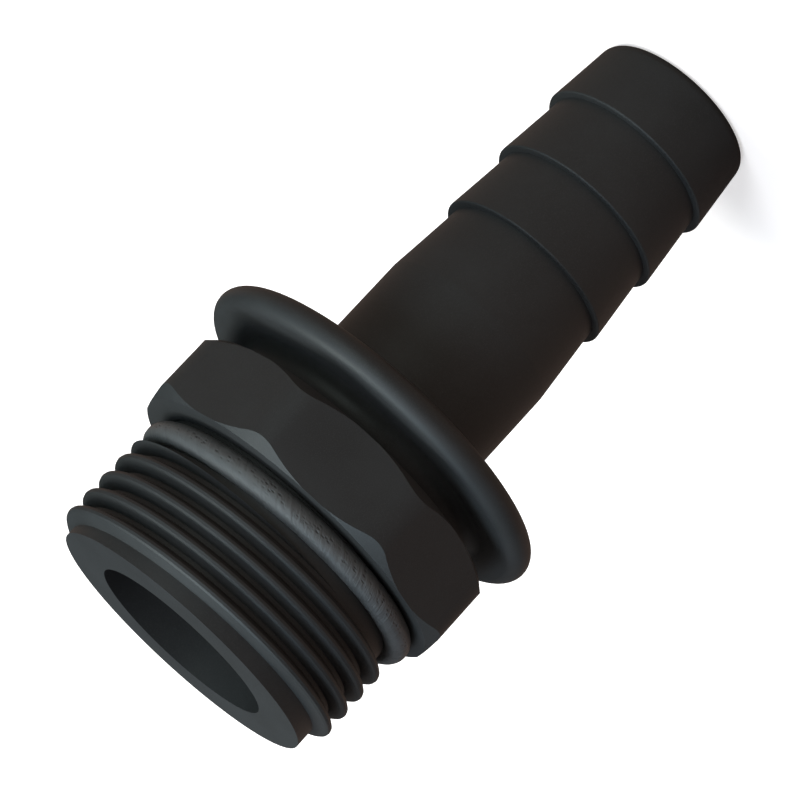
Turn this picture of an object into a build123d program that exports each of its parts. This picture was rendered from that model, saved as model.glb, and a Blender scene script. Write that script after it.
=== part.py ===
"""Moulded hose tail: a threaded spigot with a sealing ring, an octagon for a spanner,
a flange that stops the hose, and a barbed tail, all about one axis.

Millimetres, +Z up. The part stands on its tail, and the threaded end is on top. The origin
is the middle of the tail's tip. Two flats of the octagon face along X and two along Y.
"""

import math
import os

from build123d import *

# Threaded spigot
spigot_length = 11.0
thread_pitch = 2.309
thread_root_radius = 15.0
thread_crest_radius = 16.5
thread_root_width = 1.88
thread_crest_rounding = 0.48
thread_crest_facets = 4
thread_start_margin = 0.28
thread_start_angle = 110.0
thread_lead_in_angle = 30.0

# Plain relief behind the thread, the groove of the sealing ring, and the land below it
relief_length = 1.4
groove_width = 2.0
groove_radius = 13.75
land_length = 0.6

# Sealing ring, which sits a little askew in its groove
ring_section_radius = 1.3
ring_centre_radius = 15.42
ring_height = 1.1
ring_lean_angle = 1.07
ring_offset = 0.3
ring_clearance = 0.03

# Octagon for a spanner
octagon_sides = 8
octagon_across_flats = 36.0
octagon_height = 8.0
octagon_corner_radius = 4.0
octagon_end_face_radius = 18.05

# Neck and hose stop flange
neck_radius = 14.0
neck_length = 3.2
neck_fillet = 1.5
flange_radius = 20.2
flange_thickness = 3.0

# Plain stem below the flange
stem_radius = 9.91
stem_length = 13.1
stem_fillet = 1.0

# Barbed tail
stem_cone_length = 8.6
barb_count = 3
barb_pitch = 8.0
barb_crest_radius = 9.93
barb_root_radius = 9.12
barb_edge_rounding = 0.2
tip_cone_length = 8.3
tip_rounding = 1.15

# Bore
spigot_bore_radius = 10.0
spigot_bore_length = 20.0
bore_cone_length = 6.0
tail_bore_radius = 7.5

# Levels above the tip
top_barb_level = tip_cone_length + (barb_count - 1) * barb_pitch
stem_level = top_barb_level + stem_cone_length
flange_level = stem_level + stem_length
neck_level = flange_level + flange_thickness
octagon_level = neck_level + neck_length
land_level = octagon_level + octagon_height
groove_level = land_level + land_length
relief_level = groove_level + groove_width
spigot_level = relief_level + relief_length
top_level = spigot_level + spigot_length


def band(low_radius, high_radius, low, high):
    """Half section of a cylinder or cone about the axis, as radius and height."""
    return Polygon((0, low), (low_radius, low), (high_radius, high), (0, high), align=None)


def corner_fill(radius, level, size, upwards):
    """Half section of a concave fillet between a round wall and a flat face."""
    middle = level + size if upwards else level - size
    square = Pos(radius + size / 2, (level + middle) / 2) * Rectangle(size, size)
    return square - Pos(radius + size, middle) * Circle(size)


def barb(length, level):
    """Half section of one barb: it widens upwards to a flat shoulder with a soft edge."""
    cone = band(barb_root_radius, barb_crest_radius, level - length, level)
    crest = cone.vertices().sort_by(Axis.X)[-1]
    return fillet(crest, barb_edge_rounding)


def tip_barb():
    """Half section of the lowest barb, whose lower end is rounded for the hose to slip on."""
    cone = barb(tip_cone_length, tip_cone_length)
    tip = cone.vertices().sort_by(Axis.Y)[:2].sort_by(Axis.X)[-1]
    return fillet(tip, tip_rounding)


def tail_section():
    """Half section of the barbs, the cone above them and the plain stem."""
    section = tip_barb()
    for number in range(1, barb_count):
        section += barb(barb_pitch, tip_cone_length + number * barb_pitch)
    section += band(barb_root_radius, stem_radius, top_barb_level, stem_level)
    section += band(stem_radius, stem_radius, stem_level, flange_level)
    return section


def flange_section():
    """Half section of the fully rounded flange, its neck and the fillets on both sides."""
    rim = flange_thickness / 2
    section = band(flange_radius - rim, flange_radius - rim, flange_level, neck_level)
    section += Pos(flange_radius - rim, flange_level + rim) * Circle(rim)
    section += band(neck_radius, neck_radius, neck_level, octagon_level)
    section += corner_fill(neck_radius, neck_level, neck_fillet, upwards=True)
    section += corner_fill(neck_radius, octagon_level, neck_fillet, upwards=False)
    section += corner_fill(stem_radius, flange_level, stem_fillet, upwards=False)
    return section


def spigot_section():
    """Half section of the core inside the octagon, the land, the ring's groove and the spigot."""
    section = band(neck_radius, neck_radius, octagon_level, land_level)
    section += band(thread_root_radius, thread_root_radius, land_level, groove_level)
    section += band(groove_radius, groove_radius, groove_level, relief_level)
    section += band(thread_root_radius, thread_root_radius, relief_level, top_level)
    return section


def octagon():
    """Octagonal prism with rounded corners, and both ends chamfered by a cone at 45 degrees."""
    outline = RegularPolygon(
        octagon_across_flats / 2,
        octagon_sides,
        major_radius=False,
        rotation=180 / octagon_sides,
    )
    outline = fillet(outline.vertices(), octagon_corner_radius)
    prism = extrude(outline, octagon_height)
    half = octagon_height / 2
    end = octagon_end_face_radius
    cones = band(end, end + half, 0, half) + band(end + half, end, half, octagon_height)
    chamfered = prism & revolve(Plane.XZ * cones, Axis.Z)
    return Pos(0, 0, octagon_level) * chamfered


def ridge_section():
    """Section of the thread's ridge: straight flanks that run tangent into a rounded crest.

    The crest is rounded in a few flats. The flanks carry on below the thread's root, so that
    the ridge grows out of the core.
    """
    crest_centre = thread_crest_radius - thread_crest_rounding
    half_width = thread_root_width / 2
    reach = math.hypot(crest_centre - thread_root_radius, half_width)
    tilt = math.atan2(half_width, crest_centre - thread_root_radius)
    tilt -= math.asin(thread_crest_rounding / reach)
    sunk_radius = thread_root_radius - thread_crest_rounding
    sunk_height = half_width + thread_crest_rounding * math.tan(tilt)
    outline = [(sunk_radius, -sunk_height), (sunk_radius, sunk_height)]
    flank_angle = math.pi / 2 - tilt
    for number in range(thread_crest_facets + 1):
        angle = flank_angle * (1 - 2 * number / thread_crest_facets)
        radius = crest_centre + thread_crest_rounding * math.cos(angle)
        outline.append((radius, thread_crest_rounding * math.sin(angle)))
    return Plane.XZ * make_face(Polyline(outline, close=True))


def lead_in():
    """Wedge that cuts the ridge's start to a ramp, straight from root to crest."""
    outer = 2 * thread_crest_radius
    start = math.radians(thread_start_angle)
    full = math.radians(thread_start_angle - thread_lead_in_angle)
    wedge = Polygon(
        (thread_root_radius * math.cos(start), thread_root_radius * math.sin(start)),
        (thread_crest_radius * math.cos(full), thread_crest_radius * math.sin(full)),
        (outer * math.cos(full), outer * math.sin(full)),
        (outer * math.cos(start), outer * math.sin(start)),
        align=None,
    )
    depth = thread_start_margin + thread_pitch
    return extrude(Pos(0, 0, top_level - depth) * wedge, depth)


def thread():
    """Right-handed ridge. It starts as a ramp, and a plane at the relief cuts it off."""
    first_depth = thread_start_margin + thread_root_width / 2
    turns = math.ceil((spigot_length - thread_start_margin) / thread_pitch)
    path = Helix(thread_pitch, turns * thread_pitch, thread_root_radius)
    ridge = sweep(ridge_section(), path, is_frenet=True)
    foot = top_level - first_depth - turns * thread_pitch
    ridge = Pos(0, 0, foot) * Rot(0, 0, thread_start_angle) * ridge
    room = Cylinder(
        2 * thread_crest_radius,
        spigot_length,
        align=(Align.CENTER, Align.CENTER, Align.MIN),
    )
    return ridge & (Pos(0, 0, spigot_level) * room) - lead_in()


def bore():
    """Through bore: wide in the spigot, then a cone down to the narrower tail."""
    cone_top = top_level - spigot_bore_length
    cone_foot = cone_top - bore_cone_length
    section = band(tail_bore_radius, tail_bore_radius, 0, cone_foot)
    section += band(tail_bore_radius, spigot_bore_radius, cone_foot, cone_top)
    section += band(spigot_bore_radius, spigot_bore_radius, cone_top, top_level)
    return revolve(Plane.XZ * section, Axis.Z)


def hose_tail_body():
    """The moulding in one piece."""
    section = tail_section() + flange_section() + spigot_section()
    body = revolve(Plane.XZ * section, Axis.Z)
    return body + octagon() + thread() - bore()


def ring_section():
    """Section of the rubber ring: a round crown on a foot that the groove squeezes narrower.

    However the ring leans and shifts, its foot clears the groove's walls, and its crown
    clears the edges that it bulges over.
    """
    lean = math.radians(ring_lean_angle)
    rise = ring_centre_radius * math.sin(lean)
    sway = ring_section_radius * math.sin(lean)
    half_foot = min(ring_height, groove_width - ring_height) - rise - ring_clearance
    foot_radius = ring_centre_radius - ring_section_radius
    crown_radius = thread_root_radius + ring_offset + sway + ring_clearance
    side = ring_section_radius - half_foot
    section = Pos(ring_centre_radius, 0) * Circle(ring_section_radius)
    for middle in (-half_foot - side / 2, half_foot + side / 2):
        cut = Rectangle(crown_radius - foot_radius, side)
        section -= Pos((foot_radius + crown_radius) / 2, middle) * cut
    return section


def sealing_ring():
    """Rubber ring, a little askew in its groove."""
    ring = revolve(Plane.XZ * ring_section(), Axis.Z)
    return Pos(-ring_offset, 0, groove_level + ring_height) * Rot(0, -ring_lean_angle, 0) * ring


os.makedirs("parts", exist_ok=True)
export_step(hose_tail_body(), "parts/hose_tail_body.step")
export_step(sealing_ring(), "parts/sealing_ring.step")
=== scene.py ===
import math

import bpy
from mathutils import Euler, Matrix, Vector


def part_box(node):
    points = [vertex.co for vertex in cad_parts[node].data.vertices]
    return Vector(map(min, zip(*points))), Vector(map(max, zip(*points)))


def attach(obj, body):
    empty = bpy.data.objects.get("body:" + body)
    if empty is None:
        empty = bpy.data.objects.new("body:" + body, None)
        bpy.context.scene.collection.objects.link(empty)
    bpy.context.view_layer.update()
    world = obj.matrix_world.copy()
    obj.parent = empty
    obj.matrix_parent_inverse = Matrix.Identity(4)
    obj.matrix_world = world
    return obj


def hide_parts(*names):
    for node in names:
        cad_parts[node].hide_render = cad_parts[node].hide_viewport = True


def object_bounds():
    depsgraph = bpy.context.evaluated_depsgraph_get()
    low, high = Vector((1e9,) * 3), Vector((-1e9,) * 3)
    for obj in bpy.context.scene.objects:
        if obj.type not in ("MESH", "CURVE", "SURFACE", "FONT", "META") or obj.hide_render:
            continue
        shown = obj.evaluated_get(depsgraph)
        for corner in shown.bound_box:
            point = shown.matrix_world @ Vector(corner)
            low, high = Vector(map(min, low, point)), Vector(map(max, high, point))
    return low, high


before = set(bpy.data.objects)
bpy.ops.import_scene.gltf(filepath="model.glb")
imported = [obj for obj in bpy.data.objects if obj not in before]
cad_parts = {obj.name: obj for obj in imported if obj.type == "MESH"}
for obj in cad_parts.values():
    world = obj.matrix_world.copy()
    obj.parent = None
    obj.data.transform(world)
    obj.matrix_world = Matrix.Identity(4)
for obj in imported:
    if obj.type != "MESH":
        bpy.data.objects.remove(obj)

cad_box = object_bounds()


# Hose tail body. On the real fitting this is one injection moulding in black glass-filled
# nylon: thread, octagon, flange and barbs come out of one mould, and its skin keeps the fine
# spark-eroded grain of the cavity.

MM = 0.001
plastic_dark = (0.0265, 0.0262, 0.0262)
plastic_light = (0.0335, 0.0333, 0.0335)
plastic_speck = (0.037, 0.037, 0.037)
plastic_roughness = (0.46, 0.54)
plastic_specular = 0.26
plastic_grain_size = 0.12 * MM
plastic_grain_depth = 0.018 * MM
plastic_unevenness = 0.15
plastic_mark_size = 9.0 * MM


def feed(tree, socket, value):
    """Links an output to an input, or gives the input a constant."""
    if isinstance(value, bpy.types.NodeSocket):
        tree.links.new(value, socket)
    else:
        socket.default_value = value


def add_node(tree, kind, *feeds, **values):
    """Adds a shader node. Feeds fill its inputs in order, values its inputs or settings by name."""
    node = tree.nodes.new(kind)
    for name, value in values.items():
        socket = node.inputs.get(name.replace("_", " "))
        if socket is None:
            setattr(node, name, value)
        else:
            feed(tree, socket, value)
    for socket, value in zip(node.inputs, feeds):
        feed(tree, socket, value)
    return node


def combine(tree, operation, *values):
    """One value worked out from one or two others."""
    return add_node(tree, "ShaderNodeMath", *values, operation=operation).outputs[0]


def noise(tree, place, scale, **values):
    """A soft random pattern between 0 and 1."""
    return add_node(tree, "ShaderNodeTexNoise", Vector=place, Scale=scale, **values).outputs["Fac"]


def remap(tree, value, source=(0.0, 1.0), target=(0.0, 1.0), **settings):
    """Spreads the values between two numbers over the range between two others."""
    node = add_node(tree, "ShaderNodeMapRange", Value=value, From_Min=source[0],
                    From_Max=source[1], To_Min=target[0], To_Max=target[1], **settings)
    return node.outputs["Result"]


def blend_colours(tree, factor, first, second):
    """A colour between two colours, by a mask."""
    # A mix node lists its colour sockets after those for numbers and vectors.
    node = add_node(tree, "ShaderNodeMix", factor, data_type="RGBA")
    first_colour, second_colour, result = node.inputs[6], node.inputs[7], node.outputs[2]
    for socket, colour in ((first_colour, first), (second_colour, second)):
        feed(tree, socket, (*colour, 1.0) if isinstance(colour, tuple) else colour)
    return result


def new_group(name, inputs, outputs):
    """A node group that turns a vector and numbers into numbers, and its inputs and outputs."""
    group = bpy.data.node_groups.new(name, "ShaderNodeTree")
    group.interface.new_socket("Vector", in_out="INPUT", socket_type="NodeSocketVector")
    for direction, socket_names in (("INPUT", inputs), ("OUTPUT", outputs)):
        for socket_name in socket_names:
            group.interface.new_socket(
                socket_name, in_out=direction, socket_type="NodeSocketFloat")
    return group, group.nodes.new("NodeGroupInput").outputs, group.nodes.new("NodeGroupOutput").inputs


def use_group(tree, group, **values):
    """The outputs of a node group that is placed in a material with its own values."""
    node = tree.nodes.new("ShaderNodeGroup")
    node.node_tree = group
    for name, value in values.items():
        feed(tree, node.inputs[name.replace("_", " ")], value)
    return node.outputs


def new_material(name):
    """A material with a plain Principled BSDF, and its tree."""
    material = bpy.data.materials.new(name)
    material.use_nodes = True
    return material, material.node_tree


def set_surface(tree, **values):
    """Feeds the inputs of a material's Principled BSDF by name."""
    shader = tree.nodes["Principled BSDF"]
    for name, value in values.items():
        feed(tree, shader.inputs[name.replace("_", " ")], value)


# The grain of a moulded skin: fine round bumps of one size, with a little larger unevenness.
# The wide pattern has this share of the fine one's scale.
wide_to_fine = 0.08
grain_group, grain_in, grain_out = new_group(
    "moulded grain", ("Grain Size", "Unevenness"), ("Height", "Speck"))
fine_scale = combine(grain_group, "DIVIDE", 1.0, grain_in["Grain Size"])
wide_scale = combine(grain_group, "MULTIPLY", fine_scale, wide_to_fine)
fine_noise = noise(grain_group, grain_in["Vector"], fine_scale, Detail=2.0, Roughness=0.55)
wide_noise = noise(grain_group, grain_in["Vector"], wide_scale, Detail=3.0, Roughness=0.6)
mixed_height = add_node(grain_group, "ShaderNodeMix", data_type="FLOAT", A=fine_noise,
                        B=wide_noise, Factor=grain_in["Unevenness"])
feed(grain_group, grain_out["Height"], mixed_height.outputs["Result"])
feed(grain_group, grain_out["Speck"], fine_noise)

# Handling and flow marks: soft cloudy patches, some millimetres wide.
cloud_spread = (0.3, 0.7)
cloud_group, cloud_in, cloud_out = new_group("cloudy marks", ("Patch Size",), ("Mask",))
cloud_scale = combine(cloud_group, "DIVIDE", 1.0, cloud_in["Patch Size"])
cloud_noise = noise(
    cloud_group, cloud_in["Vector"], cloud_scale, Detail=4.0, Roughness=0.6, Distortion=0.4)
feed(cloud_group, cloud_out["Mask"], remap(cloud_group, cloud_noise, cloud_spread))

# Black nylon, clouded between two tones, with fine paler specks.
speck_spread = (0.50, 0.68)
plastic, tree = new_material("grained black nylon")
place = add_node(tree, "ShaderNodeTexCoord").outputs["Object"]
grain = use_group(tree, grain_group, Vector=place, Grain_Size=plastic_grain_size,
                  Unevenness=plastic_unevenness)
marks = use_group(tree, cloud_group, Vector=place, Patch_Size=plastic_mark_size)
cloudy_colour = blend_colours(tree, marks["Mask"], plastic_dark, plastic_light)
speck_mask = remap(tree, grain["Speck"], speck_spread)
grain_bump = add_node(tree, "ShaderNodeBump", Strength=1.0, Distance=plastic_grain_depth,
                      Height=grain["Height"])
set_surface(
    tree, Base_Color=blend_colours(tree, speck_mask, cloudy_colour, plastic_speck),
    Roughness=remap(tree, marks["Mask"], target=plastic_roughness),
    Normal=grain_bump.outputs["Normal"], Specular_IOR_Level=plastic_specular)

hose_tail_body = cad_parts["hose_tail_body"]
hose_tail_body.data.materials.clear()
hose_tail_body.data.materials.append(plastic)


# Sealing ring. A soft rubber ring, lighter grey than the body, that was stretched over the
# thread and sits in the groove behind it, a little askew. The groove squeezes it, so it bulges
# over both edges, and its crown is pitted and creased.

ring_low, ring_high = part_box("sealing_ring")
ring_middle = (Vector(ring_low) + Vector(ring_high)) / 2
ring_lean = math.radians(-1.07)
ring_thick = 2.6 * MM
ring_centre_radius = (ring_high[1] - ring_low[1]) / 2 - ring_thick / 2
ring_segments = 256
section_segments = 72
swell_size = 1.3 * MM
swell_height = 0.07 * MM
groove_edge_radius = 15.0 * MM
groove_low = 60.8 * MM
groove_high = 62.8 * MM
wall_gap = 0.03 * MM
wall_depth = 1.2 * MM
wall_turn = math.radians(0.5)
smooth_angle = math.radians(50.0)

bpy.ops.object.select_all(action="DESELECT")
bpy.ops.mesh.primitive_torus_add(
    major_radius=ring_centre_radius, minor_radius=ring_thick / 2, major_segments=ring_segments,
    minor_segments=section_segments, location=ring_middle, rotation=(0.0, ring_lean, 0.0))
rubber_ring = bpy.context.object
rubber_ring.name = "rubber_ring"
bpy.ops.object.transform_apply(location=True, rotation=True, scale=True)

# The rubber isn't quite even.
uneven = bpy.data.textures.new("uneven rubber", "CLOUDS")
uneven.noise_scale = swell_size
swell = rubber_ring.modifiers.new("swell", "DISPLACE")
swell.texture = uneven
swell.texture_coords = "LOCAL"
swell.strength = swell_height
bpy.ops.object.modifier_apply(modifier=swell.name)

# It is pressed flat against both walls of the groove. Each wall is turned a little, so that
# its corners don't fall on the ring's own edges.
for wall_middle in (groove_low + wall_gap - wall_depth / 2, groove_high - wall_gap + wall_depth / 2):
    bpy.ops.mesh.primitive_cylinder_add(
        vertices=ring_segments, radius=groove_edge_radius + wall_gap, depth=wall_depth,
        location=(0.0, 0.0, wall_middle), rotation=(0.0, 0.0, wall_turn))
    wall = bpy.context.object
    bpy.ops.object.select_all(action="DESELECT")
    rubber_ring.select_set(True)
    bpy.context.view_layer.objects.active = rubber_ring
    press = rubber_ring.modifiers.new("press", "BOOLEAN")
    press.operation = "DIFFERENCE"
    press.solver = "EXACT"
    press.object = wall
    bpy.ops.object.modifier_apply(modifier=press.name)
    bpy.data.objects.remove(wall)
bpy.ops.object.shade_smooth_by_angle(angle=smooth_angle)

rubber_dark = (0.074, 0.074, 0.074)
rubber_light = (0.112, 0.112, 0.113)
# Painted shade: this colour darkens the pits as if shade fell into the dents.
painted_pit_shade = (0.040, 0.040, 0.040)
rubber_roughness = (0.42, 0.56)
rubber_specular = 0.4
rubber_grain_size = 0.2 * MM
rubber_unevenness = 0.4
rubber_mark_size = 3.0 * MM
rubber_relief = 0.06 * MM
crease_height = 4.8
grain_height = 0.2

# Where a point is on the ring: its direction from the axis, and its angle round the section.
in_ring_plane = (1.0, 1.0, 0.0)
rubber, tree = new_material("blue grey rubber")
place = add_node(tree, "ShaderNodeTexCoord").outputs["Object"]
on_ring = add_node(tree, "ShaderNodeMapping", vector_type="TEXTURE", Vector=place,
                   Location=ring_middle, Rotation=(0.0, ring_lean, 0.0)).outputs["Vector"]
flat = add_node(
    tree, "ShaderNodeVectorMath", on_ring, in_ring_plane, operation="MULTIPLY").outputs["Vector"]
reach = add_node(tree, "ShaderNodeVectorMath", flat, operation="LENGTH").outputs["Value"]
heading = add_node(tree, "ShaderNodeVectorMath", flat, operation="NORMALIZE").outputs["Vector"]
outward = combine(tree, "SUBTRACT", reach, ring_centre_radius)
upward = add_node(tree, "ShaderNodeSeparateXYZ", on_ring).outputs["Z"]
section_angle = combine(tree, "ARCTAN2", upward, outward)


def ring_pattern(along, round_section, slant=0.0):
    """Coordinates for a pattern on the ring, whose cells have these two lengths and a slant."""
    turn = combine(tree, "MULTIPLY", section_angle, slant)
    turned = add_node(tree, "ShaderNodeVectorRotate", rotation_type="Z_AXIS", Vector=heading,
                      Angle=turn).outputs["Vector"]
    scaled = add_node(tree, "ShaderNodeVectorMath", operation="SCALE", Vector=turned,
                      Scale=ring_centre_radius / along).outputs["Vector"]
    height = combine(tree, "MULTIPLY", section_angle, ring_thick / 2 / round_section)
    lifted = add_node(tree, "ShaderNodeCombineXYZ", Z=height).outputs["Vector"]
    return add_node(tree, "ShaderNodeVectorMath", scaled, lifted, operation="ADD").outputs["Vector"]


# Pits: short slanting dents in a band along the crown, with gaps where none formed.
pit_length = 0.62 * MM
pit_width = 0.34 * MM
pit_slant = 0.035
pit_edge = (0.46, 0.06)
pit_depths = (0.15, 0.60)
crown_offset = 0.13
crown_fade = (0.62, 0.30)
pit_gap_length = 2.4 * MM
pit_gap_width = 3.0 * MM
pit_gap_scale = 0.9
pit_gap_edge = (0.30, 0.42)

pit_cells = add_node(
    tree, "ShaderNodeTexVoronoi", Vector=ring_pattern(pit_length, pit_width, pit_slant),
    Scale=1.0, Randomness=0.9).outputs
pit_shape = remap(tree, pit_cells["Distance"], pit_edge, interpolation_type="SMOOTHSTEP")
pit_depth = remap(tree, pit_cells["Color"], pit_depths)
off_crown = combine(tree, "ABSOLUTE", combine(tree, "ADD", section_angle, crown_offset))
crown_band = remap(tree, off_crown, crown_fade, interpolation_type="SMOOTHSTEP")
pit_gaps = noise(
    tree, ring_pattern(pit_gap_length, pit_gap_width), pit_gap_scale, Detail=1.0)
pit_band = combine(tree, "MULTIPLY", crown_band, remap(tree, pit_gaps, pit_gap_edge))
# The pit mask shapes the dents in the bump and also carries the painted shade in their colour.
pit_dents_and_shade = combine(tree, "MULTIPLY", combine(tree, "MULTIPLY", pit_shape, pit_depth), pit_band)

# Creases: fine wrinkles across the ring, deepest on the side that was stretched most.
crease_spacing = 0.40 * MM
crease_length = 2.2 * MM
crease_slant = 0.045
crease_patch_length = 4.0 * MM
crease_patch_width = 1.6 * MM
stretched_side = (0.8, -0.8)
stretched_strength = (0.45, 1.0)

crease_noise = noise(tree, ring_pattern(crease_spacing, crease_length, crease_slant), 1.0,
                     Detail=3.0, Roughness=0.6, Distortion=0.5)
crease_patch = noise(
    tree, ring_pattern(crease_patch_length, crease_patch_width), 1.0, Detail=2.0)
sideways = add_node(tree, "ShaderNodeSeparateXYZ", heading).outputs["X"]
stretched = remap(tree, sideways, stretched_side, stretched_strength)
creases = combine(
    tree, "MULTIPLY", crease_noise, combine(tree, "MULTIPLY", crease_patch, stretched))

# Dark grey rubber, paler on its raised creases, with painted shade darkening the pits, and a fine
# grain.
grain = use_group(tree, grain_group, Vector=place, Grain_Size=rubber_grain_size,
                  Unevenness=rubber_unevenness)
marks = use_group(tree, cloud_group, Vector=place, Patch_Size=rubber_mark_size)
pale_mask = combine(tree, "MULTIPLY", marks["Mask"], crease_noise)
cloudy_colour = blend_colours(tree, pale_mask, rubber_dark, rubber_light)
raised = combine(
    tree, "ADD", combine(tree, "MULTIPLY", creases, crease_height),
    combine(tree, "MULTIPLY", grain["Height"], grain_height))
rubber_bump = add_node(tree, "ShaderNodeBump", Strength=1.0, Distance=rubber_relief,
                       Height=combine(tree, "SUBTRACT", raised, pit_dents_and_shade))
set_surface(
    tree, Base_Color=blend_colours(tree, pit_dents_and_shade, cloudy_colour, painted_pit_shade),
    Roughness=remap(tree, marks["Mask"], target=rubber_roughness),
    Normal=rubber_bump.outputs["Normal"], Specular_IOR_Level=rubber_specular)

rubber_ring.data.materials.clear()
rubber_ring.data.materials.append(rubber)
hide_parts("sealing_ring")
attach(rubber_ring, "root")


# Floor. A plain pale table that the fitting stands on. It glows a little to the camera, so that
# it is seen white with only a faint shadow, and the fitting gets a weak warm light from it.

floor_size = 3.0
floor_seen = (0.93, 0.785, 0.735)
floor_glow = (0.52, 0.52, 0.52)
floor_bounce = (0.25, 0.155, 0.12)
no_glow = (0.0, 0.0, 0.0)

bpy.ops.mesh.primitive_plane_add(size=floor_size, location=(0.0, 0.0, cad_box[0][2]))
floor = bpy.context.object
floor.name = "floor"
floor_material, tree = new_material("pale floor")
seen = add_node(tree, "ShaderNodeLightPath").outputs["Is Camera Ray"]
set_surface(
    tree, Base_Color=blend_colours(tree, seen, floor_bounce, floor_seen),
    Emission_Color=blend_colours(tree, seen, no_glow, floor_glow), Emission_Strength=1.0,
    Roughness=1.0, Specular_IOR_Level=0.0)
floor.data.materials.append(floor_material)


# Light. Wide soft panels far off, as in a plain studio: two overhead, the key in front on the
# right, weak ones at the sides and low down, and one behind. Azimuths are in degrees from +X
# towards +Y. The camera is at about 270, and right is as seen from there with the fitting upright.

def panel(name, azimuth, elevation, width, strength):
    """A distant panel. Its width is in degrees, and its strength is red, green and blue."""
    lamp = bpy.data.lights.new(name, "SUN")
    lamp.angle = math.radians(width)
    lamp.energy = max(strength)
    lamp.color = [level / max(strength) for level in strength]
    holder = bpy.data.objects.new(name, lamp)
    turn = Euler((0.0, math.radians(90.0 - elevation), math.radians(azimuth)))
    holder.rotation_euler = turn
    holder.location = turn.to_matrix() @ Vector((0.0, 0.0, 1.0))
    bpy.context.scene.collection.objects.link(holder)


panel("overhead_right_panel", azimuth=0, elevation=73, width=28, strength=(2.02, 2.25, 2.18))
panel("overhead_panel", azimuth=216, elevation=82, width=40, strength=(1.00, 1.34, 1.61))
panel("key_panel", azimuth=297, elevation=46, width=22, strength=(0.85, 1.03, 1.16))
panel("left_panel", azimuth=252, elevation=37, width=18, strength=(0.30, 0.28, 0.29))
panel("low_left_panel", azimuth=235, elevation=15, width=25, strength=(0.11, 0.10, 0.10))
panel("low_right_panel", azimuth=308, elevation=8, width=35, strength=(0.59, 0.70, 0.665))
panel("right_panel", azimuth=0, elevation=40, width=30, strength=(0.18, 0.27, 0.31))
panel("back_panel", azimuth=120, elevation=32, width=60, strength=(0.15, 0.14, 0.135))

# The room is almost dark, and only the camera sees its walls white.
white = (1.0, 1.0, 1.0, 1.0)
room_strength = 0.02

world = bpy.data.worlds.new("studio")
bpy.context.scene.world = world
world.use_nodes = True
tree = world.node_tree
room = tree.nodes["Background"]
feed(tree, room.inputs["Color"], white)
feed(tree, room.inputs["Strength"], room_strength)
backdrop = add_node(tree, "ShaderNodeBackground", Color=white, Strength=1.0)
seen = add_node(tree, "ShaderNodeLightPath").outputs["Is Camera Ray"]
walls = add_node(tree, "ShaderNodeMixShader", seen, room.outputs["Background"],
                 backdrop.outputs["Background"])
feed(tree, tree.nodes["World Output"].inputs["Surface"], walls.outputs["Shader"])
bpy.context.scene.view_settings.view_transform = "Standard"


# Camera. It stands in front of the fitting, above its threaded end, and is rolled, so that the
# upright fitting lies across the picture from the lower left to the upper right, as in the
# photograph.

camera_place = (-2.179 * MM, -304.535 * MM, 128.152 * MM)
camera_turn = (-69.0727, 40.8235, -166.4347)

camera_data = bpy.data.cameras.new("photo_camera")
camera_data.lens = 144.0
camera_data.sensor_width = 36.0
camera = bpy.data.objects.new("photo_camera", camera_data)
camera.location = camera_place
camera.rotation_euler = Euler([math.radians(angle) for angle in camera_turn])
bpy.context.scene.collection.objects.link(camera)
bpy.context.scene.camera = camera
